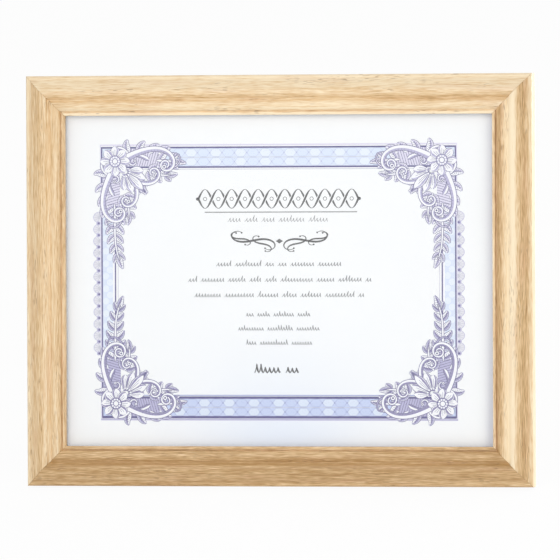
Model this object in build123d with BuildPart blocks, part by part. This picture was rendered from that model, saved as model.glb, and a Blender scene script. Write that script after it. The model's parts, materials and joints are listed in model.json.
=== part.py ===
from build123d import *
import math
import os

# Certificate frame for a landscape or portrait sheet: four mitred mouldings around a pane,
# a print, a filler and a backing board, held in by turn buttons. A hinged easel leg stands
# it on a table and two sawtooth hangers hang it on a wall. All lengths are millimetres.
#
# The frame stands on its back bottom edge and leans back on the open leg. The origin is the
# middle of that edge, +X is to the right seen from the front and +Z is up.

# The sheet and the stack behind it
INSERT_WIDTH = 279.4
INSERT_HEIGHT = 215.9
INSERT_THICKNESS = 0.3
INSERT_CLEARANCE = 0.8
GLAZING_THICKNESS = 2.0
FILLER_THICKNESS = 3.2
BOARD_THICKNESS = 3.0
SHEET_CLEARANCE = 0.5

# The moulding
RAIL_WIDTH = 25.0
RAIL_DEPTH = 16.0
RABBET_WIDTH = 5.5

# Points across the moulding, from the outer edge inwards and from the back forwards, as
# shares of the rail's width and depth
ARRIS_SHARES = ((0.0, 0.60), (0.022, 0.675), (0.075, 0.71))
OGEE_SHARES = ((0.075, 0.71), (0.21, 0.845), (0.42, 1.0))
CROWN_SHARES = ((0.42, 1.0), (0.49, 0.992), (0.545, 0.955))
VALLEY_SHARES = ((0.545, 0.955), (0.585, 0.87), (0.625, 0.835))
CUSHION_SHARES = ((0.625, 0.835), (0.765, 0.895), (0.885, 0.775))
GROOVE_SHARES = ((0.895, 0.73), (0.92, 0.73))
LIP_SHARES = ((0.925, 0.752), (0.98, 0.752), (0.995, 0.745), (1.0, 0.725))

# The V-nails across the mitres
V_NAIL_LEG = 6.0
V_NAIL_THICKNESS = 0.5
V_NAIL_HEIGHT = 7.0
V_NAIL_SPACING = 6.5
V_NAIL_FIRST = 8.0
V_NAIL_COUNT = 2

# Fits
FIT_CLEARANCE = 0.05
RUNNING_CLEARANCE = 0.08
TURNING_GAP = 0.2
CUT_OVERRUN = 1.0

# The turn buttons and their screws
BUTTON_THICKNESS = 1.2
BUTTON_ROOT_RADIUS = 4.5
BUTTON_TIP_RADIUS = 3.2
BUTTON_REACH = 10.5
BUTTON_EDGE_DISTANCE = 13.8
BUTTON_PLACE_SHARES = {
    "bottom": (-0.27, 0.27),
    "left": (-0.25,),
    "top": (-0.27, 0.27),
    "right": (0.25,),
}
SCREW_RADIUS = 1.5
SCREW_LENGTH = 9.0
SCREW_POINT = 2.0
SCREW_HEAD_RADIUS = 3.0
SCREW_HEAD_HEIGHT = 1.8
SCREW_HEAD_ROUND = 1.2
SCREW_CROSS_LENGTH = 3.4
SCREW_CROSS_WIDTH = 0.8
SCREW_CROSS_DEPTH = 0.9

# The sawtooth hangers and their nails
HANGER_LENGTH = 44.0
HANGER_WIDTH = 9.0
HANGER_THICKNESS = 0.8
HANGER_EAR = 7.5
HANGER_RAMP = 3.0
HANGER_RISE = 1.8
HANGER_EDGE_DISTANCE = 9.5
TOOTH_PITCH = 2.4
TOOTH_DEPTH = 1.6
TOOTH_COUNT = 8
NAIL_RADIUS = 0.7
NAIL_LENGTH = 9.0
NAIL_POINT = 1.5
NAIL_HEAD_RADIUS = 1.7
NAIL_HEAD_HEIGHT = 0.5

# The easel
LEAN_ANGLE = 14.0
OPENING_ANGLE = 30.0
LEG_SLANT = 40.0
HINGE_HEIGHT_SHARE = 0.585
LEG_THICKNESS = 3.0
LEG_HINGE_WIDTH = 36.0
LEG_FOOT_WIDTH = 52.0
LEG_CORNER_RADIUS = 4.0
LEAF_WIDTH = 30.0
LEAF_LENGTH = 24.0
LEAF_THICKNESS = 0.8
LEAF_CORNER_RADIUS = 3.0
KNUCKLE_RADIUS = 2.0
KNUCKLE_LENGTH_SHARE = 0.3
KNUCKLE_GAP = 0.3
PIN_RADIUS = 1.0
PIN_HEAD_RADIUS = 1.7
PIN_HEAD_HEIGHT = 0.6
STOP_CLEARANCE = 0.1
RIVET_RADIUS = 1.5
RIVET_HEAD_RADIUS = 3.0
RIVET_HEAD_HEIGHT = 1.0
RIVET_HEAD_ROUND = 0.7
RIVET_FLANGE_RADIUS = 2.5
RIVET_FLANGE_HEIGHT = 0.5
RIVET_PLACE_SHARES = ((-0.3, 0.76), (0.3, 0.76), (0.0, 0.55))

# The rabbet takes the sheet, and its depth is the stack that fills it
rabbet_opening_width = INSERT_WIDTH + 2 * INSERT_CLEARANCE
rabbet_opening_height = INSERT_HEIGHT + 2 * INSERT_CLEARANCE
land_width = RAIL_WIDTH - RABBET_WIDTH
outer_width = rabbet_opening_width + 2 * land_width
outer_height = rabbet_opening_height + 2 * land_width
filler_back = BOARD_THICKNESS
insert_back = filler_back + FILLER_THICKNESS
glazing_back = insert_back + INSERT_THICKNESS
rabbet_depth = glazing_back + GLAZING_THICKNESS

# The leaning stance: on this plane x is to the right and y is up as seen from behind, and z
# points backwards out of the frame's back
lean = math.radians(LEAN_ANGLE)
BACK = Plane(
    origin=(0, 0, 0),
    x_dir=(-1, 0, 0),
    z_dir=(0, math.cos(lean), -math.sin(lean)),
)


def on_back(x, y, turn=0):
    """Plane on the frame's back, turned about its normal."""
    return Plane(BACK.location * Location((x, y, 0), (0, 0, turn)))


# Each rail's plane lies at the middle of its outer back edge: x runs along the rail, y
# inwards and z backwards. Left and right are those of the front view.
rail_planes = {
    "bottom": on_back(0, 0),
    "left": on_back(outer_width / 2, outer_height / 2, 90),
    "top": on_back(0, outer_height, 180),
    "right": on_back(-outer_width / 2, outer_height / 2, 270),
}
rail_lengths = {
    "bottom": outer_width,
    "left": outer_height,
    "top": outer_width,
    "right": outer_height,
}
corner_planes = [
    on_back(x * outer_width / 2, outer_height / 2 + y * outer_height / 2, turn)
    for x, y, turn in ((-1, -1, 0), (1, -1, 90), (1, 1, 180), (-1, 1, 270))
]


def profile_points(shares):
    """Points across the moulding: inwards from the outer edge, and forwards from the back."""
    return [(across * RAIL_WIDTH, -forward * RAIL_DEPTH) for across, forward in shares]


def screw_planes(side):
    """Planes of the button screws on one rail."""
    spots = [
        Location((share * rail_lengths[side], BUTTON_EDGE_DISTANCE, 0))
        for share in BUTTON_PLACE_SHARES[side]
    ]
    return [Plane(rail_planes[side].location * spot) for spot in spots]


def hanger_plane(side):
    """Plane of a hanger, centred along its rail."""
    return Plane(rail_planes[side].location * Location((0, HANGER_EDGE_DISTANCE, 0)))


def hanger_nail_planes(side):
    """Planes of the two nails in a hanger's flat ears."""
    reach = (HANGER_LENGTH - HANGER_EAR) / 2
    return [
        Plane(hanger_plane(side).location * Location((x, 0, HANGER_THICKNESS)))
        for x in (-reach, reach)
    ]


# The easel's hinge. Its plane lies on the back at the pin: x runs along the pin and y away
# from the leg. The leg's plane is the same one lifted to the pin and opened by the angle.
slant = math.radians(LEG_SLANT)
opening = math.radians(OPENING_ANGLE)
pin_height = KNUCKLE_RADIUS + KNUCKLE_GAP
leg_standoff = KNUCKLE_RADIUS + KNUCKLE_GAP
hinge_y = HINGE_HEIGHT_SHARE * outer_height

# The leg's inner face, on its centre line, meets the table at this distance from the pin,
# and the hinge stands so far to the side that the foot meets it alike in portrait
leg_reach = (
    hinge_y
    + leg_standoff * math.sin(opening) * math.cos(slant)
    - (pin_height + leg_standoff * math.cos(opening)) * math.tan(lean)
) / (math.sin(opening) * math.tan(lean) + math.cos(opening) * math.cos(slant))
leg_drop = leg_reach * math.cos(opening) - leg_standoff * math.sin(opening)
hinge_x = outer_width / 2 - hinge_y + leg_drop * (math.cos(slant) - math.sin(slant))

hinge_plane = on_back(hinge_x, hinge_y, LEG_SLANT)
pin_plane = hinge_plane.offset(pin_height)
leg_plane = Plane(pin_plane.location * Location((0, 0, 0), (-OPENING_ANGLE, 0, 0)))

# The leg's heel runs past the pin until it meets the fixed leaf, which stops the opening
heel_reach = (
    leg_standoff * math.cos(opening) + pin_height - LEAF_THICKNESS - STOP_CLEARANCE
) / math.sin(opening)

# The two table planes that cut the foot: one for landscape and one for portrait, where the
# left rail is at the bottom
landscape_table = Plane.XY
portrait_table = Plane(
    BACK.location
    * Location((outer_width / 2, 0, 0))
    * Plane(
        origin=(0, 0, 0),
        x_dir=(0, 1, 0),
        z_dir=(-math.cos(lean), 0, -math.sin(lean)),
    ).location
)

knuckle_length = KNUCKLE_LENGTH_SHARE * LEAF_WIDTH
moving_knuckle_length = LEAF_WIDTH - 2 * knuckle_length - 2 * KNUCKLE_GAP
notch_depth = KNUCKLE_RADIUS + 2 * KNUCKLE_GAP


def rivet_spots(direction, height):
    """Places of the rivets in a hinge leaf's own plane, at this height over it."""
    return [
        Location((x * LEAF_WIDTH, direction * y * LEAF_LENGTH, height))
        for x, y in RIVET_PLACE_SHARES
    ]


board_rivet_planes = [
    Plane(hinge_plane.location * spot) for spot in rivet_spots(1, LEAF_THICKNESS)
]
leg_rivet_planes = [
    Plane(leg_plane.location * spot)
    for spot in rivet_spots(-1, leg_standoff + LEG_THICKNESS)
]


def v_nail_outlines(corner):
    """The outlines of one corner's V-nails, symmetric about the mitre."""
    with BuildSketch(corner) as outlines:
        for number in range(V_NAIL_COUNT):
            apex = V_NAIL_FIRST + number * V_NAIL_SPACING
            inner = apex - V_NAIL_THICKNESS
            end = apex - V_NAIL_LEG
            with BuildLine():
                Polyline(
                    (apex, apex),
                    (end, apex),
                    (end, inner),
                    (inner, inner),
                    (inner, end),
                    (apex, end),
                    close=True,
                )
            make_face()
    return outlines.sketch


def rail(side):
    """One mitred rail, with its V-nail slots and its pilot holes."""
    plane = rail_planes[side]
    length = rail_lengths[side]
    section = Plane(origin=plane.origin, x_dir=plane.y_dir, z_dir=plane.x_dir)
    with BuildPart() as moulding:
        with BuildSketch(section):
            with BuildLine():
                Line((0, 0), profile_points(ARRIS_SHARES)[0])
                ThreePointArc(*profile_points(ARRIS_SHARES))
                Spline(*profile_points(OGEE_SHARES), tangents=((1, -0.25), (1, 0)))
                ThreePointArc(*profile_points(CROWN_SHARES))
                ThreePointArc(*profile_points(VALLEY_SHARES))
                ThreePointArc(*profile_points(CUSHION_SHARES))
                Polyline(
                    profile_points(CUSHION_SHARES)[-1],
                    *profile_points(GROOVE_SHARES),
                    *profile_points(LIP_SHARES)[:2],
                )
                ThreePointArc(*profile_points(LIP_SHARES)[1:])
                Polyline(
                    profile_points(LIP_SHARES)[-1],
                    (RAIL_WIDTH, -rabbet_depth),
                    (land_width, -rabbet_depth),
                    (land_width, 0),
                    (0, 0),
                )
            make_face()
        extrude(amount=length / 2, both=True)
        with BuildSketch(plane.offset(CUT_OVERRUN)):
            with BuildLine():
                Polyline(
                    (-length / 2, 0),
                    (length / 2, 0),
                    (length / 2 - RAIL_WIDTH, RAIL_WIDTH),
                    (RAIL_WIDTH - length / 2, RAIL_WIDTH),
                    close=True,
                )
            make_face()
        extrude(amount=-(RAIL_DEPTH + 2 * CUT_OVERRUN), mode=Mode.INTERSECT)
        for corner in corner_planes:
            extrude(v_nail_outlines(corner), amount=-V_NAIL_HEIGHT, mode=Mode.SUBTRACT)
        with Locations(*screw_planes(side)):
            Cylinder(
                radius=SCREW_RADIUS + FIT_CLEARANCE,
                height=SCREW_LENGTH + FIT_CLEARANCE,
                align=(Align.CENTER, Align.CENTER, Align.MAX),
                mode=Mode.SUBTRACT,
            )
        if side in hanger_sides.values():
            with Locations(*hanger_nail_planes(side)):
                Cylinder(
                    radius=NAIL_RADIUS + FIT_CLEARANCE,
                    height=NAIL_LENGTH + FIT_CLEARANCE,
                    align=(Align.CENTER, Align.CENTER, Align.MAX),
                    mode=Mode.SUBTRACT,
                )
    return moulding


def rabbet_sheet(width, height, back, thickness):
    """A flat sheet in the rabbet, its back face this far in front of the frame's back."""
    with BuildPart() as sheet:
        with BuildSketch(on_back(0, outer_height / 2).offset(-back)):
            Rectangle(width, height)
        extrude(amount=-thickness)
    return sheet


def turn_button(plane):
    """A flat turn button that points inwards over the backing board."""
    with BuildPart() as button:
        with BuildSketch(plane.offset(TURNING_GAP)):
            Circle(BUTTON_ROOT_RADIUS)
            with Locations((0, BUTTON_REACH)):
                Circle(BUTTON_TIP_RADIUS)
            make_hull()
            Circle(SCREW_RADIUS + RUNNING_CLEARANCE, mode=Mode.SUBTRACT)
        extrude(amount=BUTTON_THICKNESS)
    return button


def sawtooth_hanger(side):
    """A stamped strip with flat ears, a raised middle and teeth along its inner edge."""
    plane = hanger_plane(side)
    ear_end = HANGER_LENGTH / 2 - HANGER_EAR
    middle_end = ear_end - HANGER_RAMP
    top = HANGER_RISE + HANGER_THICKNESS
    side_view = Plane(
        origin=plane.origin + plane.y_dir * (HANGER_WIDTH / 2),
        x_dir=plane.x_dir,
        z_dir=-plane.y_dir,
    )
    with BuildPart() as hanger:
        with BuildSketch(side_view):
            with BuildLine():
                Polyline(
                    (0, HANGER_RISE),
                    (middle_end, HANGER_RISE),
                    (ear_end, 0),
                    (HANGER_LENGTH / 2, 0),
                    (HANGER_LENGTH / 2, HANGER_THICKNESS),
                    (ear_end, HANGER_THICKNESS),
                    (middle_end, top),
                    (0, top),
                )
                mirror(about=Plane.YZ)
            make_face()
        extrude(amount=HANGER_WIDTH)
        with BuildSketch(plane.offset(top + CUT_OVERRUN)):
            with Locations((0, HANGER_WIDTH / 2)):
                with GridLocations(TOOTH_PITCH, HANGER_WIDTH, TOOTH_COUNT, 1):
                    with BuildLine():
                        Polyline(
                            (-TOOTH_PITCH / 2, 0),
                            (0, -TOOTH_DEPTH),
                            (TOOTH_PITCH / 2, 0),
                            close=True,
                        )
                    make_face()
        extrude(amount=-(top + 2 * CUT_OVERRUN), mode=Mode.SUBTRACT)
        with Locations(*hanger_nail_planes(side)):
            Cylinder(
                radius=NAIL_RADIUS + FIT_CLEARANCE,
                height=HANGER_THICKNESS + CUT_OVERRUN,
                align=(Align.CENTER, Align.CENTER, Align.MAX),
                mode=Mode.SUBTRACT,
            )
    return hanger


def leaf_outline(direction):
    """A hinge leaf's plate: square at the pin, with rounded corners at its free end."""
    with Locations((0, direction * LEAF_LENGTH / 2)):
        Rectangle(LEAF_WIDTH, LEAF_LENGTH)
    free_corners = vertices().group_by(Axis.Y)[-1 if direction > 0 else 0]
    fillet(free_corners, LEAF_CORNER_RADIUS)


def knuckle(length, place):
    """One hinge knuckle around the pin's axis, in the part being built."""
    with Locations(place):
        Cylinder(radius=KNUCKLE_RADIUS, height=length, rotation=(0, 90, 0))


def pin_bore(place, clearance):
    """The bore through the knuckles for the pin."""
    with Locations(place):
        Cylinder(
            radius=PIN_RADIUS + clearance,
            height=LEAF_WIDTH + 2 * CUT_OVERRUN,
            rotation=(0, 90, 0),
            mode=Mode.SUBTRACT,
        )


def leaf_holes(spots):
    """The rivet holes through a hinge leaf, below these spots."""
    with Locations(*spots):
        Cylinder(
            radius=RIVET_RADIUS + FIT_CLEARANCE,
            height=LEAF_THICKNESS,
            align=(Align.CENTER, Align.CENTER, Align.MAX),
            mode=Mode.SUBTRACT,
        )


def rivets(planes, grip):
    """Rivets with a rounded head on each plane and a clinched flange under the grip."""
    with BuildPart() as rivet:
        Cylinder(
            radius=RIVET_HEAD_RADIUS,
            height=RIVET_HEAD_HEIGHT,
            align=(Align.CENTER, Align.CENTER, Align.MIN),
        )
        fillet(rivet.edges().group_by(Axis.Z)[-1], RIVET_HEAD_ROUND)
        Cylinder(
            radius=RIVET_RADIUS,
            height=grip,
            align=(Align.CENTER, Align.CENTER, Align.MAX),
        )
        with Locations((0, 0, -grip)):
            Cylinder(
                radius=RIVET_FLANGE_RADIUS,
                height=RIVET_FLANGE_HEIGHT,
                align=(Align.CENTER, Align.CENTER, Align.MAX),
            )
    with BuildPart() as group:
        with Locations(*planes):
            add(rivet.part)
    return group


hanger_sides = {"landscape": "top", "portrait": "right"}

# The mitred mouldings
rails = {f"{side}_rail": rail(side) for side in rail_planes}

with BuildPart() as corner_v_nails:
    for corner_plane in corner_planes:
        extrude(v_nail_outlines(corner_plane), amount=-V_NAIL_HEIGHT)

# The stack in the rabbet, from the pane at the front to the board at the back
sheet_width = rabbet_opening_width - 2 * SHEET_CLEARANCE
sheet_height = rabbet_opening_height - 2 * SHEET_CLEARANCE
glazing_sheet = rabbet_sheet(sheet_width, sheet_height, glazing_back, GLAZING_THICKNESS)
certificate_insert = rabbet_sheet(INSERT_WIDTH, INSERT_HEIGHT, insert_back, INSERT_THICKNESS)
filler_board = rabbet_sheet(sheet_width, sheet_height, filler_back, FILLER_THICKNESS)

with BuildPart() as backing_board:
    with BuildSketch(on_back(0, outer_height / 2)):
        Rectangle(sheet_width, sheet_height)
    extrude(amount=-BOARD_THICKNESS)
    with Locations(*board_rivet_planes):
        Cylinder(
            radius=RIVET_RADIUS + FIT_CLEARANCE,
            height=LEAF_THICKNESS + BOARD_THICKNESS + CUT_OVERRUN,
            align=(Align.CENTER, Align.CENTER, Align.MAX),
            mode=Mode.SUBTRACT,
        )
    with Locations(*[p.offset(-LEAF_THICKNESS - BOARD_THICKNESS) for p in board_rivet_planes]):
        Cylinder(
            radius=RIVET_FLANGE_RADIUS + FIT_CLEARANCE,
            height=RIVET_FLANGE_HEIGHT,
            align=(Align.CENTER, Align.CENTER, Align.MIN),
            mode=Mode.SUBTRACT,
        )

# The turn buttons and their screws
turn_buttons = {
    f"turn_button_{side}_{number}": turn_button(plane)
    for side in rail_planes
    for number, plane in enumerate(screw_planes(side), start=1)
}
screw_head_bottom = 2 * TURNING_GAP + BUTTON_THICKNESS
screw_head_top = screw_head_bottom + SCREW_HEAD_HEIGHT
with BuildPart() as turn_button_screw:
    with Locations((0, 0, screw_head_bottom)):
        Cylinder(
            radius=SCREW_HEAD_RADIUS,
            height=SCREW_HEAD_HEIGHT,
            align=(Align.CENTER, Align.CENTER, Align.MIN),
        )
        fillet(turn_button_screw.edges().group_by(Axis.Z)[-1], SCREW_HEAD_ROUND)
        Cylinder(
            radius=SCREW_RADIUS,
            height=screw_head_bottom + SCREW_LENGTH - SCREW_POINT,
            align=(Align.CENTER, Align.CENTER, Align.MAX),
        )
    with Locations((0, 0, SCREW_POINT - SCREW_LENGTH)):
        Cone(
            bottom_radius=0,
            top_radius=SCREW_RADIUS,
            height=SCREW_POINT,
            align=(Align.CENTER, Align.CENTER, Align.MAX),
        )
    with Locations((0, 0, screw_head_top)):
        for cross_turn in (0, 90):
            Box(
                SCREW_CROSS_LENGTH,
                SCREW_CROSS_WIDTH,
                SCREW_CROSS_DEPTH,
                rotation=(0, 0, cross_turn),
                align=(Align.CENTER, Align.CENTER, Align.MAX),
                mode=Mode.SUBTRACT,
            )
all_screw_planes = [plane for side in rail_planes for plane in screw_planes(side)]
with BuildPart() as turn_button_screws:
    with Locations(*all_screw_planes):
        add(turn_button_screw.part)

# The hangers and their nails
hangers = {
    f"hanger_{orientation}": sawtooth_hanger(side)
    for orientation, side in hanger_sides.items()
}
with BuildPart() as hanger_nail:
    Cylinder(
        radius=NAIL_HEAD_RADIUS,
        height=NAIL_HEAD_HEIGHT,
        align=(Align.CENTER, Align.CENTER, Align.MIN),
    )
    Cylinder(
        radius=NAIL_RADIUS,
        height=NAIL_LENGTH - NAIL_POINT,
        align=(Align.CENTER, Align.CENTER, Align.MAX),
    )
    with Locations((0, 0, NAIL_POINT - NAIL_LENGTH)):
        Cone(
            bottom_radius=0,
            top_radius=NAIL_RADIUS,
            height=NAIL_POINT,
            align=(Align.CENTER, Align.CENTER, Align.MAX),
        )
nail_planes = [plane for side in hanger_sides.values() for plane in hanger_nail_planes(side)]
with BuildPart() as hanger_nails:
    with Locations(*nail_planes):
        add(hanger_nail.part)

# The easel's hinge
fixed_knuckle_x = (LEAF_WIDTH - knuckle_length) / 2
with BuildPart(hinge_plane) as easel_hinge_fixed_leaf:
    with BuildSketch(hinge_plane):
        leaf_outline(1)
        with Locations((0, notch_depth / 2)):
            Rectangle(LEAF_WIDTH - 2 * knuckle_length, notch_depth, mode=Mode.SUBTRACT)
    extrude(amount=LEAF_THICKNESS)
    for knuckle_x in (-fixed_knuckle_x, fixed_knuckle_x):
        knuckle(knuckle_length, (knuckle_x, 0, pin_height))
    pin_bore((0, 0, pin_height), FIT_CLEARANCE)
    leaf_holes(rivet_spots(1, LEAF_THICKNESS))

with BuildPart(leg_plane) as easel_hinge_moving_leaf:
    with BuildSketch(leg_plane.offset(leg_standoff)):
        leaf_outline(-1)
        with Locations((-fixed_knuckle_x, -notch_depth / 2), (fixed_knuckle_x, -notch_depth / 2)):
            Rectangle(knuckle_length + 2 * KNUCKLE_GAP, notch_depth, mode=Mode.SUBTRACT)
    extrude(amount=-LEAF_THICKNESS)
    knuckle(moving_knuckle_length, (0, 0, 0))
    pin_bore((0, 0, 0), RUNNING_CLEARANCE)
    leaf_holes(rivet_spots(-1, leg_standoff))

pin_head_x = (LEAF_WIDTH + PIN_HEAD_HEIGHT) / 2 + FIT_CLEARANCE
with BuildPart(pin_plane) as easel_hinge_pin:
    Cylinder(radius=PIN_RADIUS, height=LEAF_WIDTH + 2 * FIT_CLEARANCE, rotation=(0, 90, 0))
    with Locations((-pin_head_x, 0, 0), (pin_head_x, 0, 0)):
        Cylinder(radius=PIN_HEAD_RADIUS, height=PIN_HEAD_HEIGHT, rotation=(0, 90, 0))

board_rivets = rivets(board_rivet_planes, LEAF_THICKNESS + BOARD_THICKNESS - RIVET_FLANGE_HEIGHT)
leg_rivets = rivets(leg_rivet_planes, LEG_THICKNESS + LEAF_THICKNESS)

# The leg widens from the hinge to its foot, which the two table planes cut
with BuildPart() as easel_leg:
    with BuildSketch(leg_plane.offset(leg_standoff)):
        with BuildLine():
            Polyline(
                (-LEG_HINGE_WIDTH / 2, heel_reach),
                (LEG_HINGE_WIDTH / 2, heel_reach),
                (LEG_FOOT_WIDTH / 2, -leg_reach - LEG_FOOT_WIDTH),
                (-LEG_FOOT_WIDTH / 2, -leg_reach - LEG_FOOT_WIDTH),
                close=True,
            )
        make_face()
        fillet(vertices().group_by(Axis.Y)[-1], LEG_CORNER_RADIUS)
    extrude(amount=LEG_THICKNESS)
    split(bisect_by=landscape_table, keep=Keep.TOP)
    split(bisect_by=portrait_table, keep=Keep.TOP)
    with Locations(*leg_rivet_planes):
        Cylinder(
            radius=RIVET_RADIUS + FIT_CLEARANCE,
            height=LEG_THICKNESS + CUT_OVERRUN,
            align=(Align.CENTER, Align.CENTER, Align.MAX),
            mode=Mode.SUBTRACT,
        )

pieces = {
    **rails,
    "corner_v_nails": corner_v_nails,
    "glazing_sheet": glazing_sheet,
    "certificate_insert": certificate_insert,
    "filler_board": filler_board,
    "backing_board": backing_board,
    **turn_buttons,
    "turn_button_screws": turn_button_screws,
    **hangers,
    "hanger_nails": hanger_nails,
    "easel_hinge_fixed_leaf": easel_hinge_fixed_leaf,
    "easel_hinge_moving_leaf": easel_hinge_moving_leaf,
    "easel_hinge_pin": easel_hinge_pin,
    "board_rivets": board_rivets,
    "leg_rivets": leg_rivets,
    "easel_leg": easel_leg,
}
os.makedirs("parts", exist_ok=True)
for name, piece in pieces.items():
    piece.part.label = name
    export_step(piece.part, f"parts/{name}.step")
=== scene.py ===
import json
import math

import bpy
import numpy as np
from bpy.props import FloatProperty, FloatVectorProperty, PointerProperty
from bpy.types import Operator, Panel, PropertyGroup
from mathutils import Matrix


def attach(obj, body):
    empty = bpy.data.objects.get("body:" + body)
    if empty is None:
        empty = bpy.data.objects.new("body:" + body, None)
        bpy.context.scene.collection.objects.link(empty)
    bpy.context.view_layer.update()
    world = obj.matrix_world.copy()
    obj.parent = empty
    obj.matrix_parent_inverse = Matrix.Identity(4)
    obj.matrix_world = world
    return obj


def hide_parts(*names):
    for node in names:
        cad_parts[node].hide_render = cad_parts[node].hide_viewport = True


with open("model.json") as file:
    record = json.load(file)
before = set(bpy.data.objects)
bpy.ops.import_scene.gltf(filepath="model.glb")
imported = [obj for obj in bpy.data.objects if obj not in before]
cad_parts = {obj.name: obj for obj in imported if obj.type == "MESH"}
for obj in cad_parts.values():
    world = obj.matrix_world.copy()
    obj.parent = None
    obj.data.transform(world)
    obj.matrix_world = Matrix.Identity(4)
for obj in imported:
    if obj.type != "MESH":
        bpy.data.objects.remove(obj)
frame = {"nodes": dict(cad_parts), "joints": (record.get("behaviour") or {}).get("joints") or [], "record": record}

bl_info = {
    "name": "Certificate frame looks",
    "version": (1, 0, 0),
    "blender": (4, 5, 0),
    "location": "3D View > Sidebar > Certificate Frame",
    "description": "Oak-look mouldings, printed sheet, pane, boards, steel fittings and stage",
    "category": "Add Mesh",
}

MM = 0.001

# Axes of the leaning frame: to the right, up its face, and out of its front. The turn
# buttons turn about the normal of its back.
BUTTON_JOINT = next(j for j in frame["joints"] if j["name"].startswith("button_turn"))
FRONT = -np.array(BUTTON_JOINT["axis"], float)
RIGHT = np.array((1.0, 0.0, 0.0))
UP = np.cross(FRONT, RIGHT)
AXES = np.array((RIGHT, UP, FRONT))


def lean_box(node):
    """Lowest and highest corner of a CAD node along the frame's own axes."""
    mesh = frame["nodes"][node].data
    places = np.empty(len(mesh.vertices) * 3)
    mesh.vertices.foreach_get("co", places)
    across = places.reshape(-1, 3) @ AXES.T
    return across.min(0), across.max(0)


LOW, HIGH = lean_box("bottom_rail")
SIDE_LOW, SIDE_HIGH = lean_box("left_rail")
FRAME_WIDTH = HIGH[0] - LOW[0]
FRAME_HEIGHT = SIDE_HIGH[1] - SIDE_LOW[1]
RAIL_WIDTH = SIDE_HIGH[0] - SIDE_LOW[0]
RAIL_DEPTH = HIGH[2]
RABBET_DEPTH = lean_box("glazing_sheet")[1][2]
SHEET_LOW, SHEET_HIGH = lean_box("certificate_insert")
MIDDLE = FRAME_HEIGHT / 2
HALF_OPENING = (FRAME_WIDTH / 2 - RAIL_WIDTH, FRAME_HEIGHT / 2 - RAIL_WIDTH)

# The paper is thinner than the CAD's sheet, which leaves room for the layers of ink. It dips
# by its swell in slow waves, which turn by one radian over these lengths across and up.
PAPER_TOP = SHEET_LOW[2] + 0.100 * MM
PAPER_SWELL = 0.008 * MM
SWELL_ACROSS, SWELL_UP = 31.0 * MM, 27.0 * MM
SHEET_GRID = (151, 117)
# How far the painted bluish shade at the foot of the sheet reaches sideways, and how far
# # the painted shade at its rim and along its right side reach inwards
PAINTED_FOOT_SHADE_FADE = 55.0 * MM
PAINTED_RIM_FADE = 2.4 * MM
PAINTED_RIGHT_SHADE_FADE = 5.0 * MM

# Points across the moulding as shares of its width, inwards from the outer edge, and of its
# depth, forwards from the back
ARRIS_SHARES = ((0.0, 0.60), (0.022, 0.675), (0.075, 0.71))
OGEE_SHARES = ((0.075, 0.71), (0.21, 0.845), (0.42, 1.0))
CROWN_SHARES = ((0.42, 1.0), (0.49, 0.992), (0.545, 0.955))
VALLEY_SHARES = ((0.545, 0.955), (0.585, 0.87), (0.625, 0.835))
CUSHION_SHARES = ((0.625, 0.835), (0.765, 0.895), (0.885, 0.775))
GROOVE_SHARES = ((0.885, 0.775), (0.893, 0.69), (0.918, 0.69), (0.925, 0.752), (0.98, 0.752))
LIP_SHARES = ((0.98, 0.752), (0.995, 0.745), (1.0, 0.725))
# Shares of the rail's width: the reach of a painted stripe, a highlight on some rails and
# shade on others, and of the painted highlight at the outer rim, and where the lip begins,
# whose tone is painted light and shade
PAINTED_STRIPE_REACH = 0.17
PAINTED_RIM_REACH = 0.12
LIP_SHARE = 0.928
# Rings of points along a rail between its two ends, and the angle from which an edge is sharp
RINGS = 25
CREASE = math.radians(32)
# Each rail shows its own stretch of the printed grain, so far along it in metres
GRAIN_START, GRAIN_STEP = 0.4, 1.37
# The mouldings' backs stand this far inside the CAD's, so that the V-nails show in them
BACK_INSET = 0.03 * MM


def written(red, green, blue):
    """A colour as it is written, from 0 to 255, as the linear value that shaders use."""
    share = np.array((red, green, blue)) / 255
    linear = np.where(share <= 0.04045, share / 12.92, ((share + 0.055) / 1.055) ** 2.4)
    return tuple(float(value) for value in linear)


def number_property(name, description, default, **more):
    return FloatProperty(name=name, description=description, default=default, **more)


def length_property(name, description, default):
    return number_property(name, description, default, min=0, subtype="DISTANCE")


def factor_property(name, description, default):
    return number_property(name, description, default, min=0, soft_max=1, subtype="FACTOR")


def angle_property(name, description, degrees):
    return number_property(name, description, math.radians(degrees), subtype="ANGLE")


def power_property(name, description, default):
    return number_property(name, description, default, min=0, unit="POWER")


def colour_property(name, description, default):
    """A colour whose default is given as it is written, from 0 to 255."""
    return FloatVectorProperty(
        name=name, description=description, default=written(*default), min=0, max=1, size=3,
        subtype="COLOR",
    )


class MouldingSettings(PropertyGroup):
    """Sizes and colours of the four oak-look mouldings."""

    rabbet_width: length_property(
        "Rabbet width", "How far the moulding's lip covers the stack behind it", 5.5 * MM
    )
    mitre_gap: length_property(
        "Mitre gap", "Half the hairline that shows between two rails", 0.05 * MM
    )
    mitre_ease: length_property(
        "Mitre ease", "How far the foil rounds over at a mitre", 0.28 * MM
    )
    oak_pale: colour_property("Pale oak", "Lightest streaks", (255, 235, 200))
    oak_middle: colour_property("Oak", "Main tone", (233, 199, 151))
    oak_dark: colour_property("Dark oak", "Darker streaks", (185, 145, 93))
    oak_rose: colour_property("Rosy oak", "Pinkish patches", (222, 176, 138))
    oak_pore: colour_property("Pores", "Short dark pores", (134, 98, 60))
    core: colour_property("Core board", "Bare back of the moulding", (188, 158, 120))


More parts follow.
